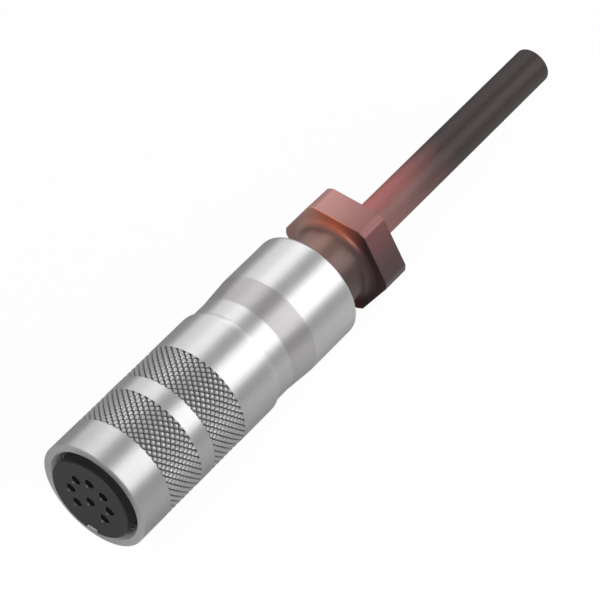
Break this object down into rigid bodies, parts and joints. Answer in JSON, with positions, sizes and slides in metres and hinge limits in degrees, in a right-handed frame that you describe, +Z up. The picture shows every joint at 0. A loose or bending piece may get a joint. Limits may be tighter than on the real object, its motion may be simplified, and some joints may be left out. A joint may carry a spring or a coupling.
{
  "type": "connector cable",
  "caption": "Round screw-lock cable connector with a knurled coupling ring, socket contacts and a hexagon strain-relief nut on a short straight cable.",
  "frame": {"origin": "centre of the socket insert's mating face, on the connector's axis", "axes": "+X along the axis, from the mating face to the cable; +Z up, with the insert's keyway at the bottom, as the connector lies on a table"},
  "size_m": [0.1106, 0.019, 0.0186],
  "materials": {
    "satin_nickel": "satin",
    "nut_metal": "satin",
    "insert_plastic": "matte",
    "gilt_contact": "satin",
    "spring_steel": "satin",
    "seal_rubber": "matte",
    "cage_plastic": "matte",
    "cable_jacket": "satin",
    "tinned_braid": "satin",
    "core_white": "satin",
    "core_brown": "satin",
    "core_green": "satin",
    "core_yellow": "satin",
    "core_grey": "satin",
    "core_pink": "satin",
    "core_blue": "satin",
    "core_red": "satin"
  },
  "bodies": {
    "connector_body": {"adapter": "satin_nickel", "cable_braid": "tinned_braid", "cable_jacket": "cable_jacket", "cable_seal": "seal_rubber", "clamp_cage": "cage_plastic", "contact_1": "gilt_contact", "contact_2": "gilt_contact", "contact_3": "gilt_contact", "contact_4": "gilt_contact", "contact_5": "gilt_contact", "contact_6": "gilt_contact", "contact_7": "gilt_contact", "contact_8": "gilt_contact", "contact_retainer": "insert_plastic", "core_1": "core_white", "core_2": "core_brown", "core_3": "core_green", "core_4": "core_yellow", "core_5": "core_grey", "core_6": "core_pink", "core_7": "core_blue", "core_8": "core_red", "face_seal": "seal_rubber", "insert_lock_ring": "spring_steel", "pressure_nut": "nut_metal", "shield_ring": "satin_nickel", "sleeve": "satin_nickel", "sleeve_seal_ring": "seal_rubber", "socket_insert": "insert_plastic", "spacer_lower": "satin_nickel", "spacer_upper": "satin_nickel", "thrust_washer": "spring_steel"},
    "ring_stop": {"snap_ring": "spring_steel"},
    "coupling_ring": {"coupling_ring": "satin_nickel"}
  },
  "joints": [
    {"name": "ring_slide", "type": "slide", "parent": "connector_body", "child": "ring_stop", "axis": [-1, 0, 0], "range_m": [0, 0.0008]},
    {"name": "ring_spin", "type": "hinge", "parent": "ring_stop", "child": "coupling_ring", "pos_m": [0.01745, 0, 0], "axis": [1, 0, 0], "continuous": true}
  ]
}
